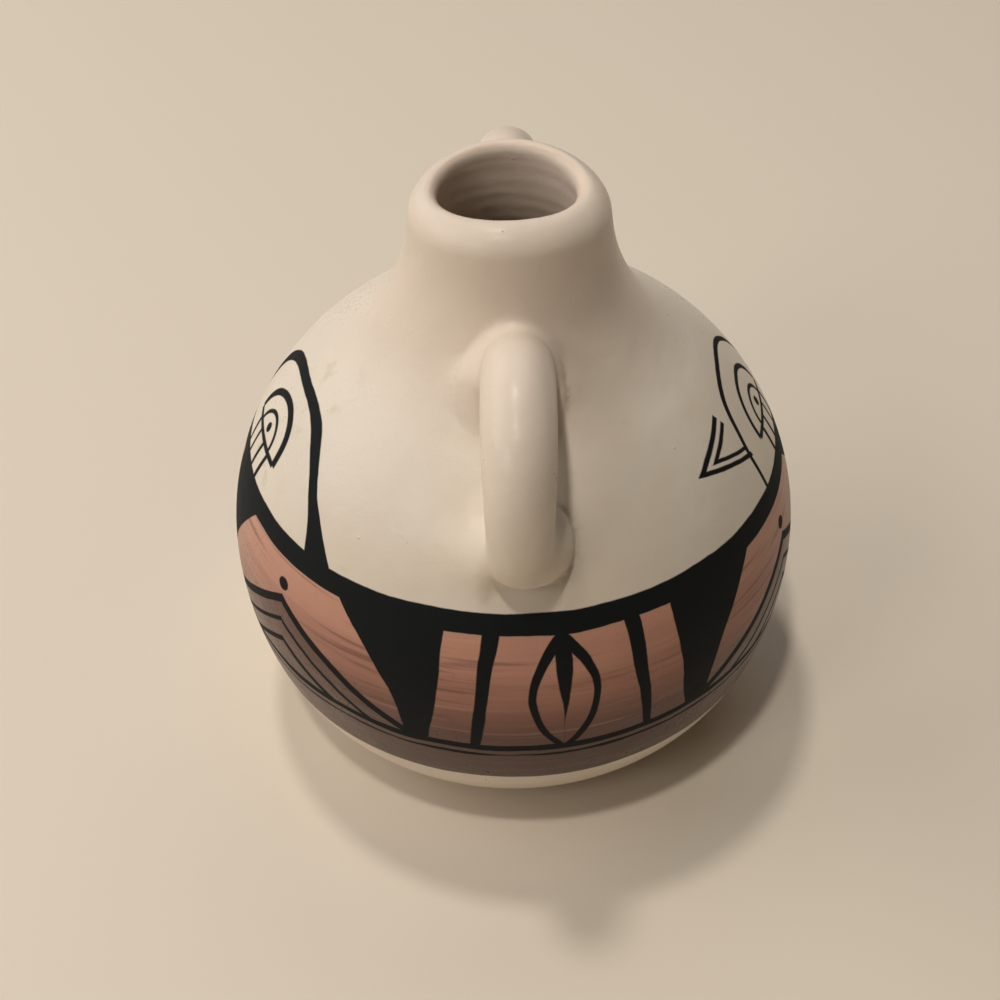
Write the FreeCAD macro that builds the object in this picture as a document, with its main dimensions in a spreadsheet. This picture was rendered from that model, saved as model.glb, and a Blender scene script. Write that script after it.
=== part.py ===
import FreeCAD, Part
import math
import os
import Sketcher
from FreeCAD import Placement, Rotation, Vector

# A small round-bellied vase of fired clay with a short neck and two loop handles.
# It stands on z = 0 with its axis on Z. The front handle points to -Y, the back one to +Y.
# The pot, its neck and both handles are joined as wet clay and fired as one piece.

# Driving dimensions in millimetres and degrees
SIZES = {
    # outside of the pot
    "belly_radius": 50.0,       # widest circle
    "belly_height": 37.0,       # height of the widest circle above the table
    "lower_curve": 58.5,        # arc from the base curve up to the belly
    "shoulder_curve": 46.9,     # arc from the belly up to the neck
    "neck_rise": 20.9,          # rim above the top that the shoulder arc would reach
    "neck_radius": 15.3,        # outside of the neck at the rim
    "neck_straight": 6.6,       # straight length of the neck under the rim
    "neck_lean": 7.0,           # degrees that the neck draws in towards the rim
    # foot
    "base_start": 14.86,        # degrees below level at which a tighter arc draws the pot in
    "base_end": 60.6,           # degrees below level at which that arc meets the table
    "foot_rounding": 1.5,       # edge between the foot and the base curve
    "foot_ring_width": 6.0,     # flat ring that touches the table, with that edge
    "foot_recess": 1.2,         # hollow inside the ring
    "foot_recess_slope": 2.5,   # how far the edge of the hollow runs inwards
    # inside of the pot
    "wall": 4.0,                # wall of the belly and the shoulder
    "floor_height": 5.5,        # inside floor above the table
    "floor_rounding": 20.0,     # inside corner between the floor and the wall
    "mouth_radius": 10.5,       # inside of the neck at the rim
    "lip_rounding": 1.9,        # both edges of the rim
    # handles
    "handle_thickness": 11.2,   # diameter of the rolled clay
    "handle_seat": 53.8,        # degrees up the shoulder arc to the middle of the handle
    "handle_reach": 14.4,       # radius of the handle's centre line about its seat
    "handle_burial": 24.0,      # degrees that each end of the centre line runs into the wall
    "handle_lean": 4.3,         # degrees that the loop leans sideways
    "upper_root_blend": 3.0,    # clay smoothed into the neck at the upper end
    "lower_root_blend": 0.9,    # clay pressed down at the lower end
}

# Places that follow from the driving dimensions
LOWER_MIDDLE = "(Sizes.belly_radius - Sizes.lower_curve)"
SHOULDER_MIDDLE = "(Sizes.belly_radius - Sizes.shoulder_curve)"
BASE_START, BASE_END = "sin(Sizes.base_start * 1 deg)", "sin(Sizes.base_end * 1 deg)"
BASE_CURVE = f"((Sizes.belly_height - Sizes.lower_curve * {BASE_START}) / ({BASE_END} - {BASE_START}))"
BASE_MIDDLE = f"({BASE_CURVE} * {BASE_END})"
RIM_HEIGHT = "(Sizes.belly_height + Sizes.shoulder_curve + Sizes.neck_rise)"
NECK_DROP = "(Sizes.neck_straight * cos(Sizes.neck_lean * 1 deg))"
NECK_SPREAD = "(Sizes.neck_straight * sin(Sizes.neck_lean * 1 deg))"
SEAT_OUT = f"({SHOULDER_MIDDLE} + Sizes.shoulder_curve * cos(Sizes.handle_seat * 1 deg))"
SEAT_UP = "(Sizes.belly_height + Sizes.shoulder_curve * sin(Sizes.handle_seat * 1 deg))"

# The rim's two roundings together take at most this share of its thickness
LIP_SHARE = 0.96
LIP_LIMIT = f"({LIP_SHARE} / 2 * (Sizes.neck_radius - Sizes.mouth_radius))"

FULL_TURN = 360.0

# Highest that the edge box of a line on the table may reach
LEVEL_LIMIT = 0.001

# Point names of a sketch's pieces, and the numbers of its two axes
START, END, CENTRE = 1, 2, 3
LEVEL_AXIS, UPRIGHT_AXIS = -1, -2


def make_sheet(doc):
    """The spreadsheet of driving dimensions, one named cell for each."""
    sheet = doc.addObject("Spreadsheet::Sheet", "Sizes")
    for row, (name, value) in enumerate(SIZES.items(), start=1):
        sheet.set(f"A{row}", name)
        sheet.set(f"B{row}", str(value))
        sheet.setAlias(f"B{row}", name)
    doc.recompute()


def origin_item(body, role):
    """One of the body's own origin planes or axes."""
    return next(item for item in body.Origin.OriginFeatures if item.Role == role)


def new_sketch(body, name, role):
    sketch = body.newObject("Sketcher::SketchObject", name)
    sketch.AttachmentSupport = [(origin_item(body, role), "")]
    sketch.MapMode = "FlatFace"
    return sketch


def number(item, size):
    """What an expression of the driving dimensions comes to."""
    value = item.evalExpression(size)
    return getattr(value, "Value", value)


def hold(sketch, kind, *where, size):
    """Hold a distance or a radius to an expression of the driving dimensions."""
    place = sketch.addConstraint(Sketcher.Constraint(kind, *where, number(sketch, size)))
    sketch.setExpression(f"Constraints[{place}]", size)


def rule(sketch, kind, *where):
    """Add a constraint that has no size."""
    sketch.addConstraint(Sketcher.Constraint(kind, *where))


class Outline:
    """A closed outline in a sketch, drawn piece by piece from a first point.

    Each piece is known by its number and by the names of its first and last points.
    """

    def __init__(self, sketch, first):
        self.sketch = sketch
        self.first = first
        self.here = first
        self.pieces = []

    def _add(self, shape, enter, leave, last, joint):
        piece = (self.sketch.addGeometry(shape, False), enter, leave)
        if self.pieces:
            before = self.pieces[-1]
            rule(self.sketch, joint, before[0], before[2], piece[0], enter)
        self.pieces.append(piece)
        self.here = last
        return piece

    def line_to(self, last, joint="Coincident"):
        return self._add(Part.LineSegment(self.here, last), START, END, last, joint)

    def arc_to(self, last, middle, joint="Tangent"):
        """Arc about middle, the short way round."""
        spoke, goal = self.here - middle, last - middle
        low, high = math.atan2(spoke.y, spoke.x), math.atan2(goal.y, goal.x)
        left_turn = (high - low) % (2 * math.pi) < math.pi
        if not left_turn:
            low, high = high, low
        circle = Part.Circle(middle, Vector(0, 0, 1), spoke.Length)
        enter, leave = (START, END) if left_turn else (END, START)
        return self._add(Part.ArcOfCircle(circle, low, high), enter, leave, last, joint)

    def close(self):
        """Draw the last line back to the first point."""
        last, first = self.line_to(self.first), self.pieces[0]
        rule(self.sketch, "Coincident", last[0], last[2], first[0], first[1])


def towards(start, goal, distance):
    """The point at a distance from start on the line to goal."""
    return start + (goal - start).normalize() * distance


def corner_middle(middle, curve, height, rounding):
    """Middle, at a height, of a rounding that touches the inside of the lower curve."""
    reach = math.sqrt((curve - rounding) ** 2 - (middle.y - height) ** 2)
    return Vector(middle.x + reach, height, 0)


def base_end(corner, rounding, level):
    """The point at which a rounding reaches the base line."""
    drop = corner.y - level
    return Vector(corner.x + math.sqrt(max(rounding ** 2 - drop ** 2, 0)), level, 0)


def neck_middle(middle, curve, joint, lean):
    """Middle of the hollow arc that leaves the neck at joint and touches the shoulder arc."""
    outward = Vector(math.cos(lean), math.sin(lean), 0)
    span = joint - middle
    radius = (span.Length ** 2 - curve ** 2) / (2 * (curve - outward.dot(span)))
    return joint + outward * radius


def draw_side(outline, inset, level, rounding, rim_radius, corner_height=None):
    """Draw one side of the wall: base line, corner, belly, shoulder, neck, rim and axis.

    The sizes are expressions. The outside has no inset, the inside lies one wall further in.
    With a height for its middle the corner meets the base line at an edge, otherwise smoothly.
    Returns the base line.
    """
    sketch = outline.sketch
    height = corner_height or f"({level} + {rounding})"
    lower_curve = f"(Sizes.lower_curve - {inset})"
    shoulder_curve = f"(Sizes.shoulder_curve - {inset})"
    belly_radius = f"(Sizes.belly_radius - {inset})"
    belly = Vector(number(sketch, belly_radius), number(sketch, "Sizes.belly_height"), 0)
    lower_middle = Vector(number(sketch, LOWER_MIDDLE), belly.y, 0)
    shoulder_middle = Vector(number(sketch, SHOULDER_MIDDLE), belly.y, 0)
    corner = corner_middle(lower_middle, number(sketch, lower_curve), number(sketch, height),
                           number(sketch, rounding))
    rim = Vector(number(sketch, rim_radius), number(sketch, RIM_HEIGHT), 0)
    neck_foot = rim + Vector(number(sketch, NECK_SPREAD), -number(sketch, NECK_DROP), 0)
    hollow = neck_middle(shoulder_middle, number(sketch, shoulder_curve), neck_foot,
                         math.radians(number(sketch, "Sizes.neck_lean")))

    base = outline.line_to(base_end(corner, number(sketch, rounding), number(sketch, level)))
    corner_arc = outline.arc_to(towards(lower_middle, corner, number(sketch, lower_curve)), corner,
                                joint="Coincident" if corner_height else "Tangent")
    lower_arc = outline.arc_to(belly, lower_middle)
    shoulder_arc = outline.arc_to(
        towards(shoulder_middle, hollow, number(sketch, shoulder_curve)), shoulder_middle)
    outline.arc_to(neck_foot, hollow)
    neck = outline.line_to(rim, joint="Tangent")
    top = outline.line_to(Vector(0, rim.y, 0))
    outline.close()

    rule(sketch, "Horizontal", base[0])
    rule(sketch, "Horizontal", top[0])
    rule(sketch, "PointOnObject", top[0], END, UPRIGHT_AXIS)
    rule(sketch, "PointOnObject", outline.pieces[0][0], START, UPRIGHT_AXIS)
    origin = (LEVEL_AXIS, START)
    hold(sketch, "Radius", corner_arc[0], size=rounding)
    if corner_height:
        hold(sketch, "DistanceY", *origin, corner_arc[0], CENTRE, size=corner_height)
    hold(sketch, "Radius", lower_arc[0], size=lower_curve)
    hold(sketch, "Radius", shoulder_arc[0], size=shoulder_curve)
    hold(sketch, "DistanceY", *origin, lower_arc[0], CENTRE, size="Sizes.belly_height")
    hold(sketch, "DistanceY", *origin, shoulder_arc[0], CENTRE, size="Sizes.belly_height")
    hold(sketch, "DistanceX", *origin, lower_arc[0], lower_arc[2], size=belly_radius)
    hold(sketch, "DistanceX", *origin, neck[0], END, size=rim_radius)
    hold(sketch, "DistanceY", *origin, neck[0], END, size=RIM_HEIGHT)
    hold(sketch, "DistanceX", neck[0], END, neck[0], START, size=NECK_SPREAD)
    hold(sketch, "DistanceY", neck[0], START, neck[0], END, size=NECK_DROP)
    return base


def draw_outside(sketch):
    """Half section of the solid pot, with its foot ring and the hollow inside the ring."""
    recess, slope = number(sketch, "Sizes.foot_recess"), number(sketch, "Sizes.foot_recess_slope")
    ring_width = number(sketch, "Sizes.foot_ring_width")
    curve = number(sketch, BASE_CURVE)
    middle = Vector(number(sketch, LOWER_MIDDLE), number(sketch, "Sizes.belly_height"), 0)
    corner = corner_middle(middle, number(sketch, "Sizes.lower_curve"), number(sketch, BASE_MIDDLE), curve)
    ring_edge = base_end(corner, curve, 0).x - ring_width

    outline = Outline(sketch, Vector(0, recess, 0))
    ceiling = outline.line_to(Vector(ring_edge - slope, recess, 0))
    edge = outline.line_to(Vector(ring_edge, 0, 0))
    ring = draw_side(outline, "0", "0", BASE_CURVE, "Sizes.neck_radius", BASE_MIDDLE)
    rule(sketch, "Horizontal", ceiling[0])
    rule(sketch, "PointOnObject", ring[0], START, LEVEL_AXIS)
    hold(sketch, "DistanceX", ring[0], START, ring[0], END, size="Sizes.foot_ring_width")
    hold(sketch, "DistanceX", edge[0], START, edge[0], END, size="Sizes.foot_recess_slope")
    hold(sketch, "DistanceY", edge[0], END, edge[0], START, size="Sizes.foot_recess")


def draw_inside(sketch):
    """Half section of the hollow, one wall inside the outside."""
    outline = Outline(sketch, Vector(0, number(sketch, "Sizes.floor_height"), 0))
    floor = draw_side(outline, "Sizes.wall", "Sizes.floor_height", "Sizes.floor_rounding",
                      "Sizes.mouth_radius")
    hold(sketch, "DistanceY", LEVEL_AXIS, START, floor[0], START, size="Sizes.floor_height")


def turn(body, kind, name, sketch):
    """A full turn of a half section about the pot's axis."""
    feature = body.newObject(kind, name)
    feature.Profile = sketch
    feature.ReferenceAxis = (sketch, ["V_Axis"])
    feature.Angle = FULL_TURN
    return feature


def draw_handle_path(path):
    """The handle's centre line: an arc about its seat on the shoulder, buried at both ends.

    The sketch's origin lies level with the top of the arc, where the leaning loop meets x = 0.
    """
    reach = number(path, "Sizes.handle_reach")
    seat, burial = number(path, "Sizes.handle_seat"), number(path, "Sizes.handle_burial")
    middle = Vector(-number(path, SEAT_OUT), -reach, 0)
    upper_end, lower_end = math.radians(90 - seat - burial), math.radians(270 - seat + burial)
    circle = Part.Circle(middle, Vector(0, 0, 1), reach)
    line = path.addGeometry(Part.ArcOfCircle(circle, upper_end, lower_end), False)
    origin = (LEVEL_AXIS, START)
    hold(path, "Radius", line, size="Sizes.handle_reach")
    hold(path, "DistanceX", line, CENTRE, *origin, size=SEAT_OUT)
    hold(path, "DistanceY", line, CENTRE, *origin, size="Sizes.handle_reach")
    hold(path, "DistanceY", line, START, *origin,
         size="Sizes.handle_reach * (1 - cos((Sizes.handle_seat + Sizes.handle_burial) * 1 deg))")
    hold(path, "DistanceX", line, END, *origin,
         size=f"{SEAT_OUT} + Sizes.handle_reach"
              " * sin((Sizes.handle_seat - Sizes.handle_burial) * 1 deg)")


def add_handles(body):
    """Two loops of rolled clay that spring from the shoulder, opposite each other."""
    path = new_sketch(body, "HandlePath", "YZ_Plane")
    lean = Rotation(Vector(-1, 0, 0), number(path, "Sizes.handle_lean"))
    path.AttachmentOffset = Placement(Vector(), lean)
    path.setExpression("AttachmentOffset.Rotation.Angle", "Sizes.handle_lean * 1 deg")
    path.setExpression("AttachmentOffset.Base.y", f"{SEAT_UP} + Sizes.handle_reach")
    draw_handle_path(path)
    body.Document.recompute()

    section = body.newObject("Sketcher::SketchObject", "HandleSection")
    section.AttachmentSupport = [(path, "Edge1")]
    section.MapMode = "NormalToEdge"
    radius = number(section, "Sizes.handle_thickness") / 2
    circle = section.addGeometry(Part.Circle(Vector(), Vector(0, 0, 1), radius), False)
    rule(section, "Coincident", circle, CENTRE, LEVEL_AXIS, START)
    hold(section, "Diameter", circle, size="Sizes.handle_thickness")

    loop = body.newObject("PartDesign::AdditivePipe", "FrontHandle")
    loop.Profile = section
    loop.Spine = (path, ["Edge1"])
    body.Document.recompute()

    pair = body.newObject("PartDesign::PolarPattern", "HandlePair")
    pair.Originals = [loop]
    pair.Axis = (origin_item(body, "Z_Axis"), [""])
    pair.Angle = FULL_TURN
    pair.Occurrences = 2
    body.Tip = pair
    body.Document.recompute()
    return pair


def is_handle(face, thickness):
    """Whether a face belongs to the rolled clay of a handle."""
    return isinstance(face.Surface, Part.Toroid) and math.isclose(2 * face.Surface.MinorRadius, thickness)


def borders(edge, faces):
    return any(edge.isSame(other) for face in faces for other in face.Edges)


def edge_names(shape, wanted):
    """Names of the edges that pass a test."""
    return [f"Edge{place}" for place, edge in enumerate(shape.Edges, start=1) if wanted(edge)]


def root_names(feature, upper):
    """Names of the edges where the handles meet the pot, at their upper or at their lower ends."""
    thickness, seat_height = number(feature, "Sizes.handle_thickness"), number(feature, SEAT_UP)
    faces = feature.Shape.Faces
    handles = [face for face in faces if is_handle(face, thickness)]
    pot = [face for face in faces if not is_handle(face, thickness)]

    def wanted(edge):
        in_place = (edge.CenterOfMass.z > seat_height) == upper
        return in_place and borders(edge, handles) and borders(edge, pot)

    return edge_names(feature.Shape, wanted)


def foot_names(feature):
    """Name of the edge where the base curve meets the table."""
    reach = max(edge.BoundBox.XLength for edge in feature.Shape.Edges if edge.BoundBox.ZMax < LEVEL_LIMIT)

    def wanted(edge):
        return edge.BoundBox.ZMax < LEVEL_LIMIT and math.isclose(edge.BoundBox.XLength, reach)

    return edge_names(feature.Shape, wanted)


def rim_names(feature):
    """Names of the two edges of the rim."""
    height = number(feature, RIM_HEIGHT)

    def wanted(edge):
        return all(math.isclose(vertex.Z, height) for vertex in edge.Vertexes)

    return edge_names(feature.Shape, wanted)


def round_edges(body, name, base, names, size):
    """Round edges of the body as it stands, to an expression of the driving dimensions."""
    feature = body.newObject("PartDesign::Fillet", name)
    feature.Base = (base, names)
    feature.setExpression("Radius", size)
    body.Document.recompute()
    return feature


def check(doc):
    """Stop if any object of the document has failed."""
    for item in doc.Objects:
        if {"Invalid", "Error"} & set(item.State):
            raise RuntimeError(f"{item.Label} is {item.State}")


def export(body):
    """Write the finished piece, under its own name."""
    shape = body.Shape
    if shape.isNull() or not shape.isValid() or len(shape.Solids) != 1:
        raise RuntimeError(f"{body.Label} is not one sound solid")
    os.makedirs("parts", exist_ok=True)
    shape.exportStep(f"parts/{body.Label}.step")
    print(f"{body.Label}: {shape.Volume / 1000:.1f} cm3, {len(shape.Faces)} faces")


def make_vase(doc):
    """The pot is thrown solid, gets its handles, and is then hollowed and rounded at the rim."""
    body = doc.addObject("PartDesign::Body", "Vase")
    body.Label = "vase"

    outside = new_sketch(body, "OutsideProfile", "XZ_Plane")
    draw_outside(outside)
    pot = turn(body, "PartDesign::Revolution", "ThrownPot", outside)
    doc.recompute()

    footed = round_edges(body, "FootEdge", pot, foot_names(pot), "Sizes.foot_rounding")
    handles = add_handles(body)
    if handles.Shape.Volume <= footed.Shape.Volume:
        raise RuntimeError("the handles add no clay")
    blended = round_edges(body, "UpperRoots", handles, root_names(handles, upper=True),
                          "Sizes.upper_root_blend")
    pressed = round_edges(body, "LowerRoots", blended, root_names(blended, upper=False),
                          "Sizes.lower_root_blend")

    inside = new_sketch(body, "InsideProfile", "XZ_Plane")
    draw_inside(inside)
    hollow = turn(body, "PartDesign::Groove", "Hollow", inside)
    doc.recompute()
    if hollow.Shape.Volume >= pressed.Shape.Volume:
        raise RuntimeError("the hollow cuts nothing")
    round_edges(body, "Lip", hollow, rim_names(hollow), f"min(Sizes.lip_rounding; {LIP_LIMIT})")
    return body


def main():
    doc = FreeCAD.newDocument("Vase")
    make_sheet(doc)
    vase = make_vase(doc)
    doc.recompute()
    check(doc)
    export(vase)


main()
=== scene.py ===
import math

import bpy
import numpy as np
from mathutils import Matrix, Vector


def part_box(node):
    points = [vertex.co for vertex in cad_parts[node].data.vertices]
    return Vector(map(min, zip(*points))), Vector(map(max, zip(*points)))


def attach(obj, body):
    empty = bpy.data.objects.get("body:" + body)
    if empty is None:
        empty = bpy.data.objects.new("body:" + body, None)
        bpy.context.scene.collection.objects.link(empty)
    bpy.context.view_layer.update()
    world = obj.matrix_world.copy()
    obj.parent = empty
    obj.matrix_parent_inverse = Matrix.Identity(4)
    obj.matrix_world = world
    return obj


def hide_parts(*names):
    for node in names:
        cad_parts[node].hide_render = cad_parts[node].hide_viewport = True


# A small round-bellied vase of fired clay, hand-made, with a loop handle in front and one behind.
# Lengths of the vase and the camera are in millimetres, those of the floor and lamps in metres.
MM = 0.001

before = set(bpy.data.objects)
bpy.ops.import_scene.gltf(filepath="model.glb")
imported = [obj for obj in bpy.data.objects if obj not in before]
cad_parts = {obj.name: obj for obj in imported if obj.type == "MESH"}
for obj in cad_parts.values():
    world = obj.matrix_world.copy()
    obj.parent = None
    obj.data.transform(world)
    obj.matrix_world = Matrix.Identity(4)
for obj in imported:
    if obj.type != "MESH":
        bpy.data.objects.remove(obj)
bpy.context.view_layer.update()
LOW, HIGH = (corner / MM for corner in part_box("vase"))

# The thrown pot, as its section is built
BELLY_RADIUS = 50.0
BELLY_HEIGHT = 37.0
LOWER_CURVE = 58.5
SHOULDER_CURVE = 46.9
NECK_RISE = 20.9
RIM_HEIGHT = BELLY_HEIGHT + SHOULDER_CURVE + NECK_RISE
LOWER_MIDDLE = BELLY_RADIUS - LOWER_CURVE
SHOULDER_MIDDLE = BELLY_RADIUS - SHOULDER_CURVE
NECK_RADIUS = 15.3
NECK_STRAIGHT = 6.6
NECK_LEAN = math.radians(7.0)
BASE_START, BASE_END = math.radians(14.86), math.radians(60.6)
BASE_CURVE = ((BELLY_HEIGHT - LOWER_CURVE * math.sin(BASE_START))
              / (math.sin(BASE_END) - math.sin(BASE_START)))
BASE_OUT = LOWER_MIDDLE + (LOWER_CURVE - BASE_CURVE) * math.cos(BASE_START)
BASE_UP = BASE_CURVE * math.sin(BASE_END)
FOOT_ROUNDING = 1.5
FOOT_RING_WIDTH = 6.0
FOOT_RING_INSIDE = BASE_OUT + BASE_CURVE * math.cos(BASE_END) - FOOT_RING_WIDTH
FOOT_RECESS = 1.2
FOOT_RECESS_SLOPE = 2.5
WALL = 4.0
FLOOR_HEIGHT = 5.5
FLOOR_ROUNDING = 14.0
MOUTH_RADIUS = 10.5
LIP_OUTER, LIP_INNER = 4.0, 2.5
# The rim stands a little above its plain height, more so at the back, and dips at both sides
RIM_RISE, RIM_TILT, RIM_DIP = 0.7, 0.03, 1.1
# The mouth is a little off the pot's axis and shorter from front to back
BORE_ACROSS, BORE_BACK, BORE_SQUASH = -0.4, 0.9, 0.05
# Depths below the rim at which the bore stands on the pot's axis and fully off it
BORE_TRUE, BORE_OFF = 32.0, 7.0

# The handles: rolled clay bent in an arc about its seat on the shoulder
HANDLE_RADIUS = 5.6
HANDLE_REACH = 14.3
HANDLE_SEAT = math.radians(53.8)
# How far the crown and the lower end of each stand to its right, seen from outside
FRONT_SWAY = (0.9, 1.3)
BACK_SWAY = (0.3, 1.0)
BACK_LIFT = 0.7
# Turns about the seat, from straight up, at which the roll starts to thin and is pressed flat
HANDLE_TAPER, TAPER_START = 0.65, math.radians(15)
PRESS_START, PRESS_END = math.radians(115), math.radians(160)
HANDLE_SPREAD = 1.0
HANDLE_PRESS = 1.8
HANDLE_TUCK = 1.9
# Rounding of the hollow between the handle and the pot, on each side and above the crown
LOWER_ROOT_LEFT, LOWER_ROOT_RIGHT = 6.5, 0.6
UPPER_ROOT_LEFT, UPPER_ROOT_RIGHT, CROWN_ROOT = 6.5, 2.4, 2.8
# Where one rounding gives way to another: above the seat, across, and out from the roll's line
ROOT_RISE = (1.0, 11.0)
UPPER_ROOT_TURN, LOWER_ROOT_TURN, CROWN_ROOT_TURN = (-3.0, 5.0), (0.0, 6.0), (2.0, 9.0)
ROOT_OUTSIDE, ROOT_INSIDE = 4.0, -2.0
# The lumps at the handle's roots: middle across, outwards and upwards from the seat, and lean;
# half width, half height and half thickness; and the rounding that joins them on
NECK_PAD = (-0.3, -8.9, 7.2, math.radians(36.6))
NECK_PAD_SIZE = (7.2, 5.6, 1.6)
NECK_PAD_ROOT = 3.0
FOOT_PAD = (3.0, 8.4, -7.3, math.radians(39.5))
FOOT_PAD_SIZE = (5.8, 6.0, 5.2)
FOOT_PAD_ROOT = 4.0
SEAT_OUT = SHOULDER_MIDDLE + SHOULDER_CURVE * math.cos(HANDLE_SEAT)
SEAT_UP = BELLY_HEIGHT + SHOULDER_CURVE * math.sin(HANDLE_SEAT)

# The painting, in bands around the pot. Heights run along the wall from the belly's widest line.
BAND_TOP, BAND_LOW = 21.2, 17.3
FRIEZE_LOW = -6.6
LINE_HALF, THIN_LINE_HALF = 0.75, 0.3
THIN_LINE_GAP = 2.1
BROWN_LOW = -17.2
REPEATS = 3
PATTERN_TURN = math.radians(9.0)
FRIEZE_RADIUS = 48.0
PANEL = math.pi / REPEATS * FRIEZE_RADIUS
WEDGE_INNER, WEDGE_OUTER = 18.6, 37.5
WEDGE_TIP_INNER, WEDGE_TIP_OUTER = 21.4, 25.6
WEDGE_SIDE = 0.85
LEAF_MIDDLE, LEAF_HALF_HEIGHT, LEAF_HALF_WIDTH = 5.2, 12.0, 4.9
LEAF_LINE, LEAF_LINE_MORE, LEAF_SPINE = 0.6, 0.45, 1.45
BAR_PLACE, BAR_LEAN = 11.6, 0.1
BAR_HALF, BAR_HALF_MORE = 0.75, 0.65
CHEVRON_SLOPE, CHEVRON_TIP, CHEVRON_GAP = 0.6, 9.5, 4.6
CHEVRON_HALVES = (0.95, 0.5, 0.65)
DOT_DROP, DOT_RADIUS = 4.6, 1.25
ARCH_HEIGHT, ARCH_POWER = 18.4, 2.3
LEFT_ARCH, RIGHT_ARCH = (8.0, 18.5), (2.0, 15.0)
ARCH_LINE, ARCH_BOLD_LINE, ARCH_BOLD_LEG, ARCH_SPREAD = 0.55, 0.5, 3.4, 13.5
CLOUD_RADIUS, CLOUD_LOW, CLOUD_INNER = 8.2, 5.4, 0.55
CLOUD_LINE, CLOUD_BOLD_LINE, FINE_LINE = 0.5, 0.25, 0.42
RAIN_OUTER, RAIN_INNER, RAIN_OUTER_LINE, RAIN_INNER_LINE = 5.2, 1.9, 0.5, 0.45
CLOUD_DOT_UP, CLOUD_DOT_RADIUS = 2.0, 0.95
POINTER_TIP, POINTER_UP, POINTER_SLOPE = 27.5, 11.5, 0.42
POINTER_LENGTH, POINTER_GAP, POINTER_LINE = 12.0, 4.0, 0.5
# How far the brush sways and shakes
SWAY_UP, SWAY_AROUND, SHAKE = 1.2, 1.6, 0.2

# Colours of the fired paints, as linear light
CREAM = (0.75, 0.65, 0.535)
CREAM_WARM = (0.72, 0.60, 0.465)
CREAM_NECK = (0.75, 0.615, 0.495)
BISQUE = (0.76, 0.585, 0.46)
INSIDE_CLAY = (0.74, 0.61, 0.50)
STAIN = (0.52, 0.45, 0.27)
GRAIN, PIT = (0.60, 0.52, 0.41), (0.3, 0.24, 0.17)
CLAY_HIGH, CLAY_MIDDLE = (0.55, 0.275, 0.19), (0.39, 0.18, 0.125)
CLAY_LOW = (0.135, 0.067, 0.05)
CLAY_STREAK, CLAY_THIN = (0.15, 0.068, 0.048), (0.62, 0.35, 0.26)
BROWN_STREAK, LOW_CLAY_STREAK = (0.20, 0.12, 0.09), (0.28, 0.16, 0.12)
BROWN = (0.108, 0.062, 0.048)
BROWN_EDGE = (0.085, 0.054, 0.042)
BLACK = (0.004, 0.0055, 0.0065)
FLOOR = (0.74, 0.635, 0.51)
BACKDROP = (0.8, 0.76, 0.7)

# The clay's surface: its gloss, and the heights of its relief
SPECULAR = 0.2
ROUGHNESS, ROUGHNESS_GRAIN, ROUGHNESS_MOTTLE, ROUGHNESS_BLACK = 0.32, 0.2, 0.15, 0.75
FINE_RELIEF, SWELL_RELIEF, CRUMB_RELIEF, TURNING_RELIEF = 0.03, 0.25, 0.07, 0.018

# The mesh that the clay is turned into: its grid's cell, the room left around the vase, the step
# over which a slope is taken, the least slope squared, and the share of the way to the middle of
# its neighbours that a point is moved
CELL = 0.95
MARGIN = 3.0
SLOPE_STEP = 0.02
LEAST_STEEP = 0.25
EVENING = 0.6


def corner_of(a, b):
    """Length of the part of two distances that is positive."""
    return np.hypot(np.maximum(a, 0), np.maximum(b, 0))


def overlap(a, b, rounding):
    """Distance to what two forms share, with their outer edge rounded."""
    return np.minimum(np.maximum(a, b), -rounding) + corner_of(a + rounding, b + rounding)


def join(a, b, rounding):
    """Distance to two forms together, with the hollow between them filled to a rounding."""
    return np.maximum(np.minimum(a, b), rounding) - corner_of(rounding - a, rounding - b)


def ramp(value, low, high):
    """0 below low, 1 above high and smooth between."""
    share = np.clip((value - low) / (high - low), 0, 1)
    return share * share * (3 - 2 * share)


def hollow_arc(shoulder, joint):
    """Middle and radius of the arc between a shoulder arc and the foot of a neck."""
    across, up = math.cos(NECK_LEAN), math.sin(NECK_LEAN)
    span = (joint[0] - SHOULDER_MIDDLE, joint[1] - BELLY_HEIGHT)
    reach = span[0] * across + span[1] * up
    radius = (span[0] ** 2 + span[1] ** 2 - shoulder ** 2) / (2 * (shoulder - reach))
    return joint[0] + radius * across, joint[1] + radius * up, radius


def side(out, up, inset, neck_radius):
    """Distance outwards from one side of the wall, at a distance out from the axis."""
    shoulder = SHOULDER_CURVE - inset
    joint = (neck_radius + NECK_STRAIGHT * math.sin(NECK_LEAN),
             RIM_HEIGHT - NECK_STRAIGHT * math.cos(NECK_LEAN))
    hollow_out, hollow_up, hollow_radius = hollow_arc(shoulder, joint)

    above = up - BELLY_HEIGHT
    from_shoulder = out - SHOULDER_MIDDLE
    lower = np.hypot(out - LOWER_MIDDLE, above) - (LOWER_CURVE - inset)
    base = np.hypot(out - BASE_OUT, up - BASE_UP) - (BASE_CURVE - inset)
    upper = np.hypot(from_shoulder, above) - shoulder
    hollow = hollow_radius - np.hypot(out - hollow_out, up - hollow_up)
    neck = (out - joint[0]) * math.cos(NECK_LEAN) + (up - joint[1]) * math.sin(NECK_LEAN)

    to_hollow = (hollow_out - SHOULDER_MIDDLE, hollow_up - BELLY_HEIGHT)
    past_shoulder = above * to_hollow[0] - from_shoulder * to_hollow[1] > 0
    past_hollow = ((up - hollow_up) * math.cos(NECK_LEAN)
                   > (out - hollow_out) * math.sin(NECK_LEAN))
    past_base = -above > (out - LOWER_MIDDLE) * math.tan(BASE_START)
    return np.select([past_base, above < 0, ~past_shoulder, ~past_hollow],
                     [base, lower, upper, hollow], neck)


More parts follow.
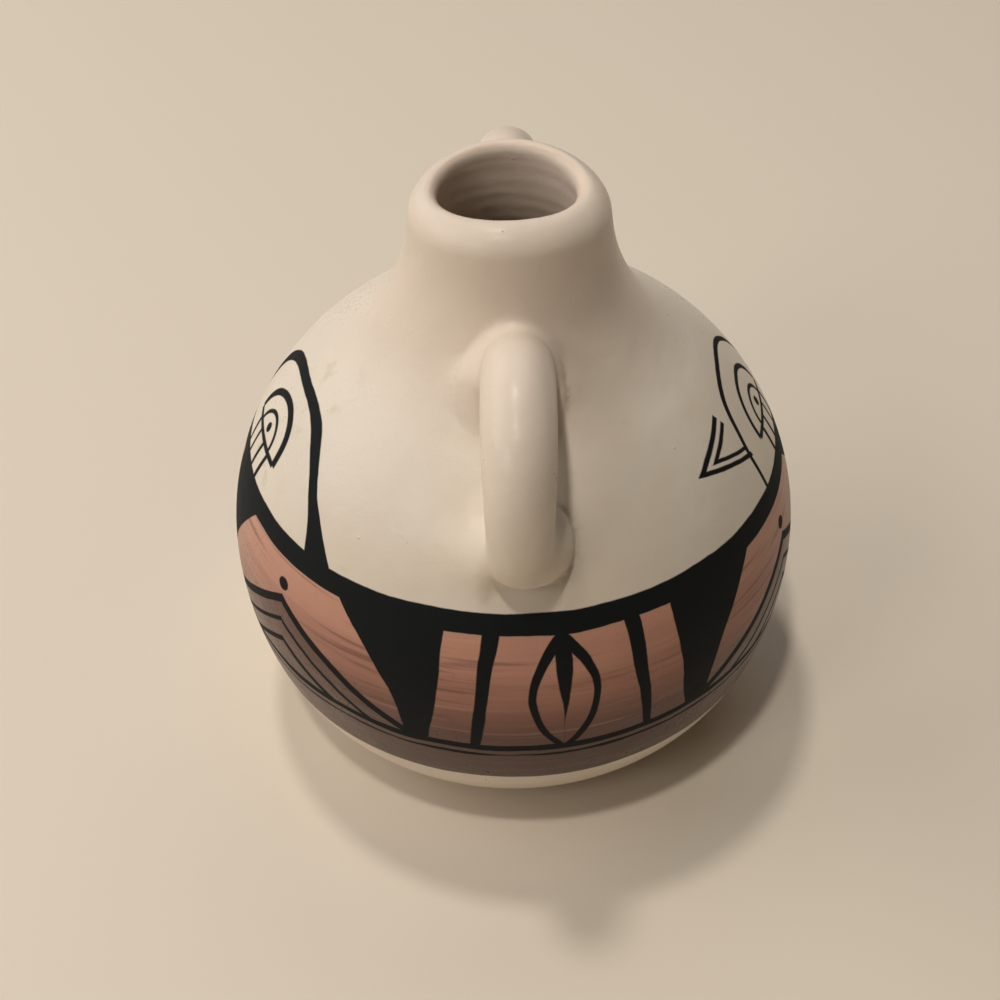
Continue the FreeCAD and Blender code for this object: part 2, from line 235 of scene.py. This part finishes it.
def handle(across, out, up, sway):
    """Distance to one loop of rolled clay, bent about its seat and pressed flat at its lower end.

    sway holds how far the loop's crown and its lower end stand to one side.
    """
    turn = np.arctan2(out - SEAT_OUT, up - SEAT_UP)
    turn = np.where(turn < -math.pi / 2, turn + 2 * math.pi, turn)
    pressed = ramp(turn, PRESS_START, PRESS_END)
    centre = sway[0] + (sway[1] - sway[0]) * pressed
    round_here = HANDLE_RADIUS - HANDLE_TAPER * ramp(turn, TAPER_START, PRESS_START)
    width = round_here + HANDLE_SPREAD * pressed
    thickness = round_here - HANDLE_PRESS * pressed
    reach = HANDLE_REACH - HANDLE_TUCK * pressed
    ring = (np.hypot(out - SEAT_OUT, up - SEAT_UP) - reach) / thickness
    sideways = (across - centre) / width
    return (np.hypot(ring, sideways) - 1) * np.minimum(thickness, width)


def pad(across, out, up, place, size):
    """Distance to a flat lump of clay pressed on the pot.

    place holds its middle across, and outwards and upwards from the handle's seat, and the lean of
    its face, and size its half width, half height and half thickness.
    """
    away, above = out - SEAT_OUT - place[1], up - SEAT_UP - place[2]
    lean = place[3]
    spans = (across - place[0],
             above * math.cos(lean) - away * math.sin(lean),
             away * math.cos(lean) + above * math.sin(lean))
    near = np.sqrt(sum((span / half) ** 2 for span, half in zip(spans, size)))
    steep = np.sqrt(sum((span / half ** 2) ** 2 for span, half in zip(spans, size)))
    return near * (near - 1) / np.maximum(steep, 0.001)


def clay(point):
    """Distance to the surface of the clay, negative inside it."""
    x, y, z = point
    out = np.hypot(x, y)
    form = side(out, z, 0, NECK_RADIUS)
    form = overlap(form, -z, FOOT_ROUNDING)
    for turn, sway, lift in ((1, FRONT_SWAY, 0), (-1, BACK_SWAY, BACK_LIFT)):
        across, forward, up = turn * x, -turn * y, z - lift
        loop = handle(across, forward, up, sway)
        foot = pad(across, forward, up, FOOT_PAD, FOOT_PAD_SIZE)
        loop = join(loop, foot, FOOT_PAD_ROOT)
        upper = ramp(up, SEAT_UP + ROOT_RISE[0], SEAT_UP + ROOT_RISE[1])
        left, low_left = ramp(-across, *UPPER_ROOT_TURN), ramp(-across, *LOWER_ROOT_TURN)
        lower_root = LOWER_ROOT_RIGHT + low_left * (LOWER_ROOT_LEFT - LOWER_ROOT_RIGHT)
        from_seat = np.hypot(forward - SEAT_OUT, up - SEAT_UP)
        inner = ramp(HANDLE_REACH + ROOT_OUTSIDE - from_seat, 0, ROOT_OUTSIDE - ROOT_INSIDE)
        crown = (1 - inner) * (1 - ramp(np.abs(across - sway[0]), *CROWN_ROOT_TURN))
        upper_root = (UPPER_ROOT_RIGHT + left * inner * (UPPER_ROOT_LEFT - UPPER_ROOT_RIGHT)
                      + crown * (CROWN_ROOT - UPPER_ROOT_RIGHT))
        root = lower_root + upper * (upper_root - lower_root)
        form = join(form, pad(across, forward, up, NECK_PAD, NECK_PAD_SIZE), NECK_PAD_ROOT)
        form = join(form, loop, root)

    recess_side = (out - FOOT_RING_INSIDE) + z * FOOT_RECESS_SLOPE / FOOT_RECESS
    recess_side = recess_side * FOOT_RECESS / math.hypot(FOOT_RECESS, FOOT_RECESS_SLOPE)
    form = np.maximum(form, -np.maximum(recess_side, z - FOOT_RECESS))

    rim = RIM_HEIGHT + RIM_RISE + RIM_TILT * y - RIM_DIP * (x / np.maximum(out, 1)) ** 2
    form = overlap(form, z - rim, LIP_OUTER)
    high = ramp(RIM_HEIGHT - z, BORE_TRUE, BORE_OFF)
    bore_out = np.hypot(x - BORE_ACROSS * high,
                        (y - BORE_BACK * high) * (1 + BORE_SQUASH * high))
    bore = overlap(side(bore_out, z, WALL, MOUTH_RADIUS), FLOOR_HEIGHT - z, FLOOR_ROUNDING)
    return overlap(form, -bore, LIP_INNER)


def slope(point):
    """Direction in which the distance to the clay grows, for each point."""
    steps = np.eye(3) * SLOPE_STEP
    rises = [clay(point + step[:, None]) - clay(point - step[:, None]) for step in steps]
    return np.array(rises) / (2 * SLOPE_STEP)


def settle(point, rounds=3):
    """Points moved onto the surface of the clay."""
    for _ in range(rounds):
        steep = slope(point)
        point = point - steep * clay(point) / np.maximum((steep * steep).sum(axis=0), LEAST_STEEP)
    return point


def shifted(array, steps):
    """The block of an array that starts at 0 or 1 along each axis and is one shorter."""
    return array[tuple(slice(step, size - 1 + step) for step, size in zip(steps, array.shape))]


def net(low, high):
    """Points and four-sided faces of a net drawn where the clay's surface crosses a grid."""
    axes = [np.arange(start, stop + CELL, CELL) for start, stop in zip(low, high)]
    nodes = np.array(np.meshgrid(*axes, indexing="ij"))
    depth = clay(nodes.reshape(3, -1)).reshape(nodes.shape[1:])
    inside = depth < 0
    corners = [(i, j, k) for i in (0, 1) for j in (0, 1) for k in (0, 1)]
    held = sum(shifted(inside, corner).astype(int) for corner in corners)
    crossed = (held > 0) & (held < len(corners))
    number = np.full(crossed.shape, -1)
    number[crossed] = np.arange(crossed.sum())
    weights = [1 / (np.abs(shifted(depth, corner)[crossed]) + CELL / 10) for corner in corners]
    points = np.array([
        sum(weight * shifted(node, corner)[crossed] for corner, weight in zip(corners, weights))
        for node in nodes]) / sum(weights)

    faces = []
    for axis in range(3):
        ahead = [slice(None)] * 3
        behind = [slice(None)] * 3
        ahead[axis], behind[axis] = slice(1, None), slice(None, -1)
        first, last = inside[tuple(behind)], inside[tuple(ahead)]
        step = np.eye(3, dtype=int)
        one, two = step[(axis + 1) % 3], step[(axis + 2) % 3]
        for leaving, ring in ((first & ~last, (-one - two, -two, 0 * one, -one)),
                              (~first & last, (-one, 0 * one, -two, -one - two))):
            edge = np.argwhere(leaving)
            faces.append(np.stack([number[tuple((edge + corner).T)] for corner in ring], axis=1))
    return points, np.concatenate(faces)


def relax(points, faces, rounds=4):
    """Even out the net: each point moves towards the middle of its neighbours, then settles."""
    starts = faces.ravel()
    ends = np.roll(faces, -1, axis=1).ravel()
    total = points.shape[1]
    count = np.bincount(starts, minlength=total) + np.bincount(ends, minlength=total)
    for _ in range(rounds):
        middle = np.array([
            np.bincount(starts, row[ends], total) + np.bincount(ends, row[starts], total)
            for row in points]) / count
        points = settle(points + EVENING * (middle - points), 1)
    return settle(points)


def make_vase():
    low = np.array([LOW.x, LOW.y, 0]) - MARGIN
    high = np.array([HIGH.x, HIGH.y, RIM_HEIGHT]) + MARGIN
    points, faces = net(low, high)
    points = relax(settle(points), faces)
    normals = slope(points)
    normals /= np.linalg.norm(normals, axis=0)
    mesh = bpy.data.meshes.new("vase_clay")
    mesh.from_pydata((points.T * MM).tolist(), [], faces.tolist())
    mesh.update()
    mesh.shade_smooth()
    mesh.normals_split_custom_set_from_vertices(normals.T.tolist())
    piece = bpy.data.objects.new("vase_clay", mesh)
    bpy.context.collection.objects.link(piece)
    return piece


class Value:
    """A number that shader nodes work out, with the usual arithmetic on it."""

    tree = None

    def __init__(self, socket):
        self.socket = socket

    def __add__(self, other):
        return worked("ADD", self, other)

    def __radd__(self, other):
        return worked("ADD", other, self)

    def __sub__(self, other):
        return worked("SUBTRACT", self, other)

    def __rsub__(self, other):
        return worked("SUBTRACT", other, self)

    def __mul__(self, other):
        return worked("MULTIPLY", self, other)

    def __rmul__(self, other):
        return worked("MULTIPLY", other, self)

    def __truediv__(self, other):
        return worked("DIVIDE", self, other)

    def __neg__(self):
        return worked("MULTIPLY", self, -1.0)


def wire(given, socket):
    """Connect what another node gives to a socket, or set a plain number or colour on it."""
    if isinstance(given, Value):
        Value.tree.links.new(given.socket, socket)
    elif isinstance(given, tuple) and len(given) < len(socket.default_value):
        socket.default_value = (*given, 1.0)
    else:
        socket.default_value = given


def worked(operation, *given):
    node = Value.tree.nodes.new("ShaderNodeMath")
    node.operation = operation
    for value, socket in zip(given, node.inputs):
        wire(value, socket)
    return Value(node.outputs[0])


def least(first, *others):
    for other in others:
        first = worked("MINIMUM", first, other)
    return first


def most(first, *others):
    for other in others:
        first = worked("MAXIMUM", first, other)
    return first


def apart(value):
    return worked("ABSOLUTE", value)


def length(a, b):
    return worked("SQRT", a * a + b * b)


def rise(value, low, high):
    """0 where a value is below low, 1 where it is above high; high may be the lower of the two."""
    node = Value.tree.nodes.new("ShaderNodeMapRange")
    node.interpolation_type = "SMOOTHSTEP"
    wire(value, node.inputs["Value"])
    wire(low, node.inputs["From Min"])
    wire(high, node.inputs["From Max"])
    return Value(node.outputs["Result"])


def covered(distance, edge=0.13):
    """1 inside a painted form and 0 outside it, with an edge as soft as a brush leaves."""
    return rise(distance, edge, -edge)


def blend(first, second, share):
    """The second colour over the first by a share of 0 to 1."""
    node = Value.tree.nodes.new("ShaderNodeMix")
    node.data_type = "RGBA"
    # The node has sockets for every type of data, and these are the ones for colours
    wire(share, node.inputs[0])
    wire(first, node.inputs[6])
    wire(second, node.inputs[7])
    return Value(node.outputs[2])


def place_of(x, y, z):
    node = Value.tree.nodes.new("ShaderNodeCombineXYZ")
    for value, socket in zip((x, y, z), node.inputs):
        wire(value, socket)
    return Value(node.outputs[0])


def noise(place, scale, detail=2.0):
    """Random values about 0, mostly within -0.25 and 0.25; scale is waves per unit of the place."""
    node = Value.tree.nodes.new("ShaderNodeTexNoise")
    wire(place, node.inputs["Vector"])
    node.inputs["Scale"].default_value = scale
    node.inputs["Detail"].default_value = detail
    return Value(node.outputs["Fac"]) - 0.5


def frieze(across, up):
    """Distance to the black figures of the frieze, and to the brown ground below its chevrons.

    across runs from 0 in the middle of one panel to PANEL in the middle of the next.
    """
    high = most(least((up - FRIEZE_LOW) / (BAND_LOW - FRIEZE_LOW), 1.05), 0.0)
    inner = WEDGE_TIP_INNER + (WEDGE_INNER - WEDGE_TIP_INNER) * high
    outer = WEDGE_TIP_OUTER + (WEDGE_OUTER - WEDGE_TIP_OUTER) * (high * high)
    wedge = most(inner - across, (across - outer) * WEDGE_SIDE)

    leaf_radius = (LEAF_HALF_HEIGHT ** 2 + LEAF_HALF_WIDTH ** 2) / (2 * LEAF_HALF_WIDTH)
    from_leaf = up - LEAF_MIDDLE
    leaf = length(across + (leaf_radius - LEAF_HALF_WIDTH), from_leaf) - leaf_radius
    outline = apart(leaf) - (LEAF_LINE + LEAF_LINE_MORE * rise(from_leaf, 0, LEAF_HALF_HEIGHT))
    spine = across - LEAF_SPINE * rise(from_leaf, -LEAF_HALF_HEIGHT * 0.6, LEAF_HALF_HEIGHT * 0.8)
    figure = least(wedge, outline, most(spine, leaf))

    bar = (apart(across - BAR_PLACE - BAR_LEAN * (BAND_LOW - up))
           - (BAR_HALF + BAR_HALF_MORE * high))
    figure = least(figure, bar)

    from_tip = PANEL - across
    chevrons = up + CHEVRON_SLOPE * from_tip - CHEVRON_TIP
    strokes = [apart(chevrons + number * CHEVRON_GAP) - half
               for number, half in enumerate(CHEVRON_HALVES)]
    beside = outer - across
    chevron = most(least(*strokes), beside - 1.0)
    dot = length(from_tip, up - BAND_LOW + DOT_DROP) - DOT_RADIUS
    ground = most(chevrons, beside - 1.0)
    return least(figure, chevron, dot), ground


def shoulder_figure(around, up, middle, half_width, bold):
    """Distance to the arch painted on one side of the shoulder, above the band.

    around runs around the pot from its side, forwards positive, and middle is where the arch
    stands on it; a bold arch has thick lines and a leg that spreads forwards at its foot.
    """
    aside = around - middle
    forward = rise(aside, 0, half_width)
    low = rise(up, ARCH_HEIGHT * 0.85, -ARCH_HEIGHT * 0.4)
    spread = bold * ARCH_SPREAD * forward * low
    reach = (worked("POWER", apart(aside - spread) / half_width, ARCH_POWER)
             + worked("POWER", most(up, 0.0) / ARCH_HEIGHT, ARCH_POWER))
    from_arch = worked("POWER", reach, 1 / ARCH_POWER) - 1
    line = ARCH_LINE + bold * (ARCH_BOLD_LINE + ARCH_BOLD_LEG * forward * (low * low))
    outline = apart(from_arch * ARCH_HEIGHT) - line

    from_cloud = length(aside, up - CLOUD_LOW)
    cloud = apart(from_cloud - CLOUD_RADIUS) - (CLOUD_LINE + CLOUD_BOLD_LINE * bold)
    inner_cloud = apart(from_cloud - CLOUD_RADIUS * CLOUD_INNER) - FINE_LINE
    clouds = most(least(cloud, inner_cloud), CLOUD_LOW - up)
    shelf = most(apart(up - CLOUD_LOW) - CLOUD_LINE, apart(aside) - CLOUD_RADIUS)
    drop = least(apart(apart(aside) - RAIN_OUTER) - RAIN_OUTER_LINE,
                 apart(apart(aside) - RAIN_INNER) - RAIN_INNER_LINE)
    rain = most(drop, up - CLOUD_LOW)
    dot = length(aside, up - CLOUD_LOW - CLOUD_DOT_UP) - CLOUD_DOT_RADIUS
    return least(outline, clouds, shelf, rain, dot)


def paint_vase():
    material = bpy.data.materials.new("painted_clay")
    material.use_nodes = True
    tree = material.node_tree
    Value.tree = tree
    shader = tree.nodes["Principled BSDF"]

    where = tree.nodes.new("ShaderNodeTexCoord")
    scaled = tree.nodes.new("ShaderNodeVectorMath")
    scaled.operation = "SCALE"
    scaled.inputs["Scale"].default_value = 1 / MM
    tree.links.new(where.outputs["Object"], scaled.inputs[0])
    place = Value(scaled.outputs[0])
    parts = tree.nodes.new("ShaderNodeSeparateXYZ")
    wire(place, parts.inputs[0])
    x, y, z = (Value(output) for output in parts.outputs)
    facing = tree.nodes.new("ShaderNodeSeparateXYZ")
    tree.links.new(where.outputs["Normal"], facing.inputs[0])
    normal_x, normal_y = Value(facing.outputs[0]), Value(facing.outputs[1])

    out = length(x, y)
    above = z - BELLY_HEIGHT
    curve = LOWER_CURVE + (SHOULDER_CURVE - LOWER_CURVE) * rise(above, -0.1, 0.1)
    wall_up = worked("ARCSINE", most(least(above / curve, 0.95), -0.95)) * curve
    sway = noise(place, 1 / 16.0, 1.0)
    shake = noise(place, 1 / 2.2, 2.0)
    other_sway = noise(place_of(z, x, y), 1 / 12.0, 1.0)
    up = wall_up + SWAY_UP * sway + SHAKE * shake

    angle = worked("ARCTAN2", x, -y)
    slice_angle = 2 * math.pi / REPEATS
    turned = (angle - PATTERN_TURN) / slice_angle
    local = turned - worked("FLOOR", turned + 0.5)
    across = apart(local * (slice_angle * FRIEZE_RADIUS)
                   + SWAY_AROUND * other_sway + SHAKE * shake)
    figure, ground = frieze(across, up)
    figure = most(figure, FRIEZE_LOW - up, up - BAND_LOW - 1.0)

    right = rise(x, -1.0, 1.0)
    around_pot = ((math.pi / 2 - worked("ARCTAN2", apart(x), -y)) * out
                  + SWAY_AROUND * other_sway)
    over_band = up - BAND_TOP
    left_arch = shoulder_figure(around_pot, over_band, *LEFT_ARCH, 1.0)
    right_arch = shoulder_figure(around_pot, over_band, *RIGHT_ARCH, 0.0)
    from_tip = POINTER_TIP - around_pot
    pointer = apart(over_band - POINTER_UP) - POINTER_SLOPE * from_tip
    inner_pointer = apart(over_band - POINTER_UP) - POINTER_SLOPE * (from_tip - POINTER_GAP)
    pointer = least(apart(pointer) - POINTER_LINE, apart(inner_pointer) - FINE_LINE)
    pointer = most(pointer, -1.0 - from_tip, from_tip - POINTER_LENGTH)
    right_arch = least(right_arch, pointer)
    shoulder = left_arch + (right_arch - left_arch) * right
    shoulder = most(shoulder, -over_band - 1.0, apart(around_pot) - 40.0)

    band = most(up - BAND_TOP, BAND_LOW - up)
    line = apart(up - FRIEZE_LOW) - (LINE_HALF + 0.5 * sway)
    thin_line = apart(up - FRIEZE_LOW + THIN_LINE_GAP) - (THIN_LINE_HALF + 0.8 * other_sway)
    black = least(figure, shoulder, band, line, thin_line)
    outside = rise(length(out - SHOULDER_MIDDLE, above),
                   SHOULDER_CURVE - 3.0, SHOULDER_CURVE - 2.0)
    black_share = covered(black) * outside

    streak_place = place_of(x * 0.035, y * 0.035, z * 0.85)
    streaks = noise(streak_place, 1.0, 4.0)
    broad = noise(place_of(x * 0.02, y * 0.02, z * 0.22), 1.0, 2.0)
    clay = blend(CLAY_LOW, CLAY_MIDDLE, rise(up + 12 * broad, FRIEZE_LOW + 1.5, 7.0))
    clay = blend(clay, CLAY_HIGH, rise(up + 12 * broad, 5.0, 15.0))
    clay = blend(clay, CLAY_STREAK, rise(streaks, 0.02, 0.22) * 0.6)
    clay = blend(clay, CLAY_THIN, rise(streaks, -0.05, -0.25) * 0.3)
    brown = blend(BROWN, BROWN_EDGE, rise(up + 2 * streaks, BROWN_LOW + 3.5, BROWN_LOW + 0.6))
    brown = blend(brown, BROWN_STREAK, rise(streaks, 0.0, 0.3) * 0.35)
    low_clay = blend(BROWN, CLAY_LOW, rise(up + 9 * broad, FRIEZE_LOW, 6.0))
    low_clay = blend(low_clay, LOW_CLAY_STREAK, rise(streaks, 0.0, 0.3) * 0.4)
    clay = blend(clay, low_clay, covered(ground))
    slip = blend(brown, clay, covered(FRIEZE_LOW - up))

    mottle = noise(place, 1 / 16.0, 3.0)
    cream = blend(CREAM, CREAM_WARM, rise(mottle, -0.1, 0.25) * 0.6)
    grain = noise(place, 1.6, 2.0)
    cream = blend(cream, GRAIN, rise(grain, 0.08, 0.3) * 0.16)
    flecks = noise(place, 1 / 3.5, 3.0)
    patches = rise(noise(place, 1 / 21.0, 0.0), 0.12, 0.25)
    cream = blend(cream, STAIN, rise(flecks, 0.06, 0.2) * patches * 0.4)
    cream = blend(cream, CREAM_NECK, rise(z, RIM_HEIGHT - 33, RIM_HEIGHT - 18) * 0.8)
    inward = -(normal_x * x + normal_y * y) / most(out, 1.0)
    bore = (rise(out, MOUTH_RADIUS + 4.6, MOUTH_RADIUS + 3.6)
            * rise(z, RIM_HEIGHT - 30, RIM_HEIGHT - 24))
    lip = bore * rise(inward, 0.1, 0.5) * rise(z, RIM_HEIGHT - 9, RIM_HEIGHT - 3)
    cream = blend(cream, BISQUE, lip)
    drift = noise(place_of(x * 0.05, y * 0.05, z * 0.3), 1.0, 1.0)
    turning = worked("SINE", z * 2.3 + 3.0 * drift)
    within = most(1 - outside, bore * rise(inward, 0.5, 0.95))
    cream = blend(cream, INSIDE_CLAY, within * (0.94 + 0.06 * turning))
    painted = covered(most(up - BAND_LOW, BROWN_LOW - up)) * outside
    colour = blend(cream, slip, painted)
    colour = blend(colour, BLACK, black_share)

    matt = ROUGHNESS + ROUGHNESS_GRAIN * grain + ROUGHNESS_MOTTLE * mottle
    roughness = matt + (ROUGHNESS_BLACK - matt) * black_share
    tree.links.new(roughness.socket, shader.inputs["Roughness"])

    fine = noise(place, 1.6, 2.0)
    swells = noise(place, 1 / 7.0, 2.0)
    crumbs = tree.nodes.new("ShaderNodeTexVoronoi")
    wire(place, crumbs.inputs["Vector"])
    crumbs.inputs["Scale"].default_value = 1 / 5.0
    chance = tree.nodes.new("ShaderNodeSeparateColor")
    tree.links.new(crumbs.outputs["Color"], chance.inputs[0])
    luck = Value(chance.outputs[0])
    near = rise(Value(crumbs.outputs["Distance"]), 0.055, 0.025)
    pits = near * rise(luck, 0.7, 0.72)
    raised = near * rise(luck, 0.35, 0.33)
    colour = blend(colour, PIT, pits * 0.55 * (1 - black_share))
    tree.links.new(colour.socket, shader.inputs["Base Color"])
    relief = (fine * FINE_RELIEF + swells * SWELL_RELIEF + (raised - pits) * CRUMB_RELIEF
              + within * turning * TURNING_RELIEF)
    shader.inputs["Specular IOR Level"].default_value = SPECULAR
    bumps = tree.nodes.new("ShaderNodeBump")
    bumps.inputs["Strength"].default_value = 1.0
    bumps.inputs["Distance"].default_value = MM
    wire(relief, bumps.inputs["Height"])
    tree.links.new(bumps.outputs["Normal"], shader.inputs["Normal"])
    return material


def plain_material(name, colour, roughness):
    material = bpy.data.materials.new(name)
    material.use_nodes = True
    shader = material.node_tree.nodes["Principled BSDF"]
    shader.inputs["Base Color"].default_value = (*colour, 1)
    shader.inputs["Roughness"].default_value = roughness
    return material


FLOOR_REACH = 1.2
FLOOR_ROUGHNESS = 0.6


def make_floor():
    mesh = bpy.data.meshes.new("floor")
    corners = [(-FLOOR_REACH, -FLOOR_REACH, 0), (FLOOR_REACH, -FLOOR_REACH, 0),
               (FLOOR_REACH, FLOOR_REACH, 0), (-FLOOR_REACH, FLOOR_REACH, 0)]
    mesh.from_pydata(corners, [], [(0, 1, 2, 3)])
    floor = bpy.data.objects.new("floor", mesh)
    bpy.context.collection.objects.link(floor)
    mesh.materials.append(plain_material("floor_pale", FLOOR, FLOOR_ROUGHNESS))


# Camera, as the photograph was taken: height, distance and tilt in the frame of the vase
CAMERA_PLACE = Vector((0, -202.0, 223.5))
CAMERA_TILT = math.radians(42.32)
CAMERA_ROLL = math.radians(-0.76)
CAMERA_SHIFT = -0.0134
CAMERA_LENS = 54.0


def make_camera():
    data = bpy.data.cameras.new("camera")
    data.lens = CAMERA_LENS
    data.sensor_width = 36.0
    data.shift_x = CAMERA_SHIFT
    data.clip_start, data.clip_end = 0.01, 20.0
    camera = bpy.data.objects.new("camera", data)
    bpy.context.collection.objects.link(camera)
    camera.matrix_world = (Matrix.Translation(CAMERA_PLACE * MM)
                           @ Matrix.Rotation(math.pi / 2 - CAMERA_TILT, 4, "X")
                           @ Matrix.Rotation(CAMERA_ROLL, 4, "Z"))
    bpy.context.scene.camera = camera


def make_lamp(name, place, size, power, colour=(1.0, 1.0, 1.0)):
    """A round lamp that faces the vase, with its place and width in metres and power in watts."""
    data = bpy.data.lights.new(name, "AREA")
    data.shape = "DISK"
    data.size = size
    data.energy = power
    data.color = colour
    lamp = bpy.data.objects.new(name, data)
    bpy.context.collection.objects.link(lamp)
    lamp.location = place
    lamp.rotation_euler = (-Vector(place)).to_track_quat("-Z", "Y").to_euler()


def around(turn, height, distance=1.3):
    """A place at a distance from the vase, turned from its front towards its right and raised."""
    turn, height = math.radians(turn), math.radians(height)
    return (distance * math.cos(height) * math.sin(turn),
            -distance * math.cos(height) * math.cos(turn),
            distance * math.sin(height))


WARM = (1.0, 0.965, 0.91)
SKY_LIGHT = 0.02


def light_scene():
    world = bpy.data.worlds.new("studio")
    world.use_nodes = True
    tree = world.node_tree
    seen = tree.nodes["Background"]
    seen.inputs["Color"].default_value = (*BACKDROP, 1)
    unseen = tree.nodes.new("ShaderNodeBackground")
    unseen.inputs["Color"].default_value = (1.0, 1.0, 1.0, 1)
    unseen.inputs["Strength"].default_value = SKY_LIGHT
    path = tree.nodes.new("ShaderNodeLightPath")
    mixed = tree.nodes.new("ShaderNodeMixShader")
    tree.links.new(path.outputs["Is Camera Ray"], mixed.inputs[0])
    tree.links.new(unseen.outputs[0], mixed.inputs[1])
    tree.links.new(seen.outputs[0], mixed.inputs[2])
    tree.links.new(mixed.outputs[0], tree.nodes["World Output"].inputs["Surface"])
    bpy.context.scene.world = world
    make_lamp("ceiling_back", (-0.197, 0.285, 1.5), 0.16, 5.8, WARM)
    make_lamp("ceiling_front", (-0.20, -0.465, 1.5), 0.10, 6.1, WARM)
    make_lamp("left", around(-90, 35), 0.9, 4.9)
    make_lamp("front_left", around(-45, 37), 0.4, 2.3, WARM)
    make_lamp("back_left", around(-135, 28), 0.9, 2.5)
    make_lamp("back", around(165, 50), 0.9, 2.0)
    make_lamp("right", around(90, 35), 0.9, 0.25, WARM)
    make_lamp("front", around(0, 20), 0.9, 0.15, WARM)


vase = make_vase()
vase.data.materials.append(paint_vase())
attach(vase, "root")
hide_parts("vase")
make_floor()
make_camera()
light_scene()
bpy.context.scene.view_settings.view_transform = "Standard"
